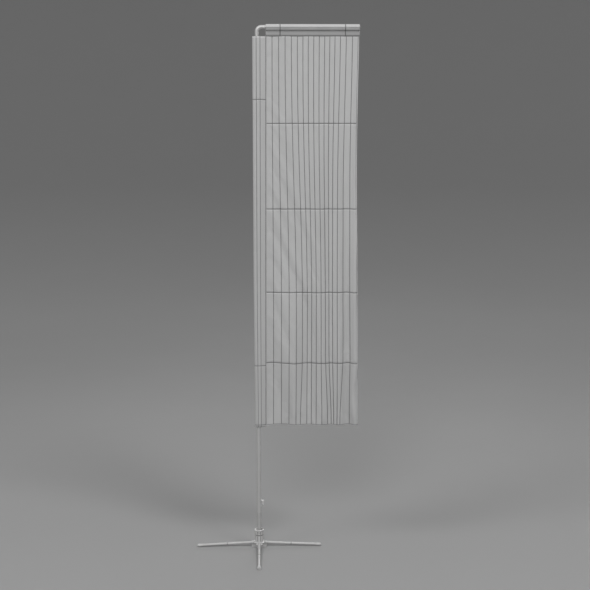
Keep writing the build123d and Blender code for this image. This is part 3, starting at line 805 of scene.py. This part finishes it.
def along_arm(section, thread, places):
    """A section swept along the arm: its points, and the thread along and across it at each of them."""
    points = np.array([[(x, y, z) for y, z in section] for x in places])
    across = np.repeat(np.array(thread)[None], len(places), axis=0)
    upward = np.max([near(places, edge, *PATCH_THREAD) for edge in PATCH_EDGES], axis=0)
    return points, np.repeat(upward[:, None], len(section), axis=1), across


def make_top_sleeve():
    """The sleeve over the arm, with a doubled patch at each end."""
    places = split_values(top_low.x, top_high.x, 0.009, PATCH_EDGES, gaps=PATCH_GAPS)
    section, thread, doubled = zip(*[((y, z), sewn, stands) for y, z, sewn, stands in top_profile()])
    points, upward, across = along_arm(section, thread, places)
    x, y, z = points[..., 0], points[..., 1], points[..., 2]
    outward = unit(np.stack((y, z - ARM_CENTRE), axis=-1))
    low_part = 1 - smooth_step(z, POCKET_STITCH + 0.006, ARM_CENTRE)
    side_part = np.clip(1 - np.abs(z - ARM_CENTRE) / POCKET_RADIUS, 0.0, 1.0)
    # Slack cloth under the arm, a doubled band over it, and thread drawn in at the seams
    swell = 0.0011 * side_part * ripple(x, z + 0.3 * np.sign(y), (0.05, 0.03), 31.0)
    swell += 0.0005 * np.array(doubled)[None] - 0.0006 * upward
    points[..., 1] += swell * outward[..., 0]
    points[..., 2] += swell * outward[..., 1]
    points[..., 1] += 0.0014 * low_part * ripple(x, z * 0, *TAPE_WAVER)
    stitches = {"stitch_up": upward, "stitch_across": across}
    sleeve = grid_piece("top_sleeve_cloth", points, attributes=stitches)
    thicken(sleeve)
    paint(sleeve, "sleeve_cloth")
    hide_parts("top_sleeve")
    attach(sleeve, "mast")
    return sleeve


LINING_HALF = 100


def make_top_lining():
    """Padded lining between the arm and the pocket, down to LINING_HALF degrees either side of the top."""
    inner = ARM_RADIUS + 0.0004
    turn = np.radians(np.linspace(-LINING_HALF, LINING_HALF, 41))
    thin = np.cos(turn * 90 / LINING_HALF).clip(0.0) ** 0.5
    outer = inner + (pocket_reach(turn) - 0.0010 - inner) * thin
    profile = [(math.sin(a) * reach, math.cos(a) * reach) for a, reach in zip(turn, outer)]
    profile += [(math.sin(a) * inner, math.cos(a) * inner) for a in turn[::-1][1:-1]]
    middle = np.linspace(top_low.x + 0.02, top_high.x - 0.02, 60)
    places = [top_low.x + 0.003, top_low.x + 0.004, *middle, top_high.x - 0.004, top_high.x - 0.003]
    points = np.array([[(x, y, ARM_CENTRE + z) for y, z in profile] for x in places])
    lining = grid_piece("top_lining", points, around=True)
    close_ends(lining, len(profile))
    paint(lining, "sleeve_cloth")
    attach(lining, "mast")


def make_seam_tape():
    """Ribbed tape folded over the join of top sleeve and panel, sewn along both edges; its darker grey is
    painted shade for the band under the pocket.
    """
    bottom, top = FLAG_TOP + 0.0035, POCKET_STITCH - 0.0002
    heights = [bottom, bottom + 0.0006, bottom + 0.0014, bottom + 0.0066, bottom + 0.0074]
    heights += list(np.linspace(bottom + 0.0095, top - 0.006, 12))
    heights += [top - 0.0044, top - 0.0034, top - 0.0010, top - 0.0003, top]
    heights = np.array(heights)
    stand = 0.0030 + 0.0005 * near(heights, (bottom + top) / 2, (top - bottom) / 2 - 0.0016, 0.001)
    # The lower line is wider than its stitching: dark thread, plus painted shade under the tape's lower edge
    sewn = np.maximum(0.7 * near(heights, bottom + 0.0040, 0.0026, 0.0008),
                      0.12 * near(heights, top - 0.0022, 0.0013, 0.0008))
    section = [*zip(-stand, heights), *zip(stand[::-1], heights[::-1])]
    ribs = split_values(top_low.x + 0.0005, top_high.x - 0.0005, 0.0030, PATCH_EDGES, gaps=PATCH_GAPS)
    points, upward, across = along_arm(section, [*sewn, *sewn[::-1]], ribs)
    x, y, z = points[..., 0], points[..., 1], points[..., 2]
    ridge = np.where(np.arange(len(ribs)) % 2 == 0, 1.0, 0.0)[:, None] * (1 - across) * (1 - upward)
    points[..., 1] += 0.0005 * np.sign(y) * ridge
    points[..., 1] += 0.0012 * ripple(x, z * 0, *TAPE_WAVER)
    stitches = {"stitch_up": upward, "stitch_across": across}
    tape = grid_piece("seam_tape", points, around=True, attributes=stitches)
    close_ends(tape, len(section))
    paint(tape, "seam_tape")
    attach(tape, "mast")


panel_cloth, panel_points = make_panel()
hems = make_hems(panel_points)
hoist_seam = make_hoist_seam()
pole_sleeve_cloth = make_pole_sleeve()
top_sleeve_cloth = make_top_sleeve()
make_top_lining()
make_seam_tape()

# ---- stage, lights ----

FLAT_RADIUS = 6.0
SWEEP_RADIUS = 18.0
SWEEP_END = math.radians(72)
FLOOR_LEVEL = 0.291
# Painted light and shade on the paper, for the lights' falloff: between two distances from the flag it turns
# to this share of the floor's own grey
PAINTED_FALLOFF_RINGS = ((1.0, 3.5, 1.06), (4.5, 8.0, 1.085), (8.5, 13.3, 0.87), (14.0, 18.0, 0.92))

LIGHT_SIZE = 5.0
WORLD_LEVEL = 0.40


def make_floor():
    """A plain round sweep: level floor that curves up into a wall well away from the flag on every side."""
    profile = [(reach, 0.0) for reach in np.linspace(0.0, FLAT_RADIUS, 8)[1:]]
    for angle in np.linspace(0, SWEEP_END, 30)[1:]:
        profile.append((FLAT_RADIUS + SWEEP_RADIUS * math.sin(angle), SWEEP_RADIUS * (1 - math.cos(angle))))
    turns = np.linspace(0, math.tau, 97)[:-1]
    points = np.array([[(r * math.sin(a), r * math.cos(a), z) for a in turns] for r, z in profile])
    floor = grid_piece("floor", points, around=True)
    # The innermost ring is closed by one round face
    sweep = bmesh.new()
    sweep.from_mesh(floor.data)
    sweep.verts.ensure_lookup_table()
    sweep.faces.new([sweep.verts[i] for i in range(len(turns))][::-1])
    bmesh.ops.recalc_face_normals(sweep, faces=sweep.faces)
    sweep.to_mesh(floor.data)
    sweep.free()
    material, tree, shader = start_material("floor_paint")
    # Painted falloff: painted light a few metres from the flag, painted shade farther out and up the wall
    radius = add_node(tree, "ShaderNodeVectorMath", {0: place(tree, (1.0, 1.0, 0.0))}, operation="LENGTH")
    base = grey(FLOOR_LEVEL)
    for start, end, shade in PAINTED_FALLOFF_RINGS:
        reached = remap(tree, radius.outputs["Value"], start, end)
        base = mix_colour(tree, reached, base, grey(FLOOR_LEVEL * shade))
    tone = grain(tree, 1.2, detail=2.0)
    base = mix_colour(tree, remap(tree, tone, 0.3, 0.7, 0.0, 0.03), base, grey(FLOOR_LEVEL * 0.6))
    tree.links.new(base, shader.inputs["Base Color"])
    shader.inputs["Roughness"].default_value = 0.9
    shader.inputs["Specular IOR Level"].default_value = 0.1
    floor.data.materials.append(material)


def make_light(name, place_at, aim, power, spread=180.0):
    """A round softbox that the camera doesn't see."""
    light = bpy.data.lights.new(name, "AREA")
    light.shape = "DISK"
    light.size = LIGHT_SIZE
    light.energy = power
    light.spread = math.radians(spread)
    lamp = bpy.data.objects.new(name, light)
    bpy.context.scene.collection.objects.link(lamp)
    lamp.visible_camera = False
    lamp.location = place_at
    lamp.rotation_mode = "QUATERNION"
    lamp.rotation_quaternion = (Vector(aim) - Vector(place_at)).to_track_quat("-Z", "Y")


make_floor()
make_light("key", (6.9, -6.9, 13.0), (0.2, 0.0, 1.0), 810)
make_light("fill", (-8.4, -4.9, 12.0), (0.2, 0.0, 1.0), 550)
make_light("front", (-1.5, -11.0, 8.5), (0.3, 0.0, 1.4), 560)
make_light("back", (2.0, 13.0, 5.5), (0.3, 0.0, 2.2), 55, spread=55.0)

world = bpy.data.worlds.new("studio")
bpy.context.scene.world = world
world.use_nodes = True
background = world.node_tree.nodes["Background"]
background.inputs["Color"].default_value = (1.0, 1.0, 1.0, 1.0)
background.inputs["Strength"].default_value = WORLD_LEVEL
bpy.context.scene.view_settings.view_transform = "Standard"
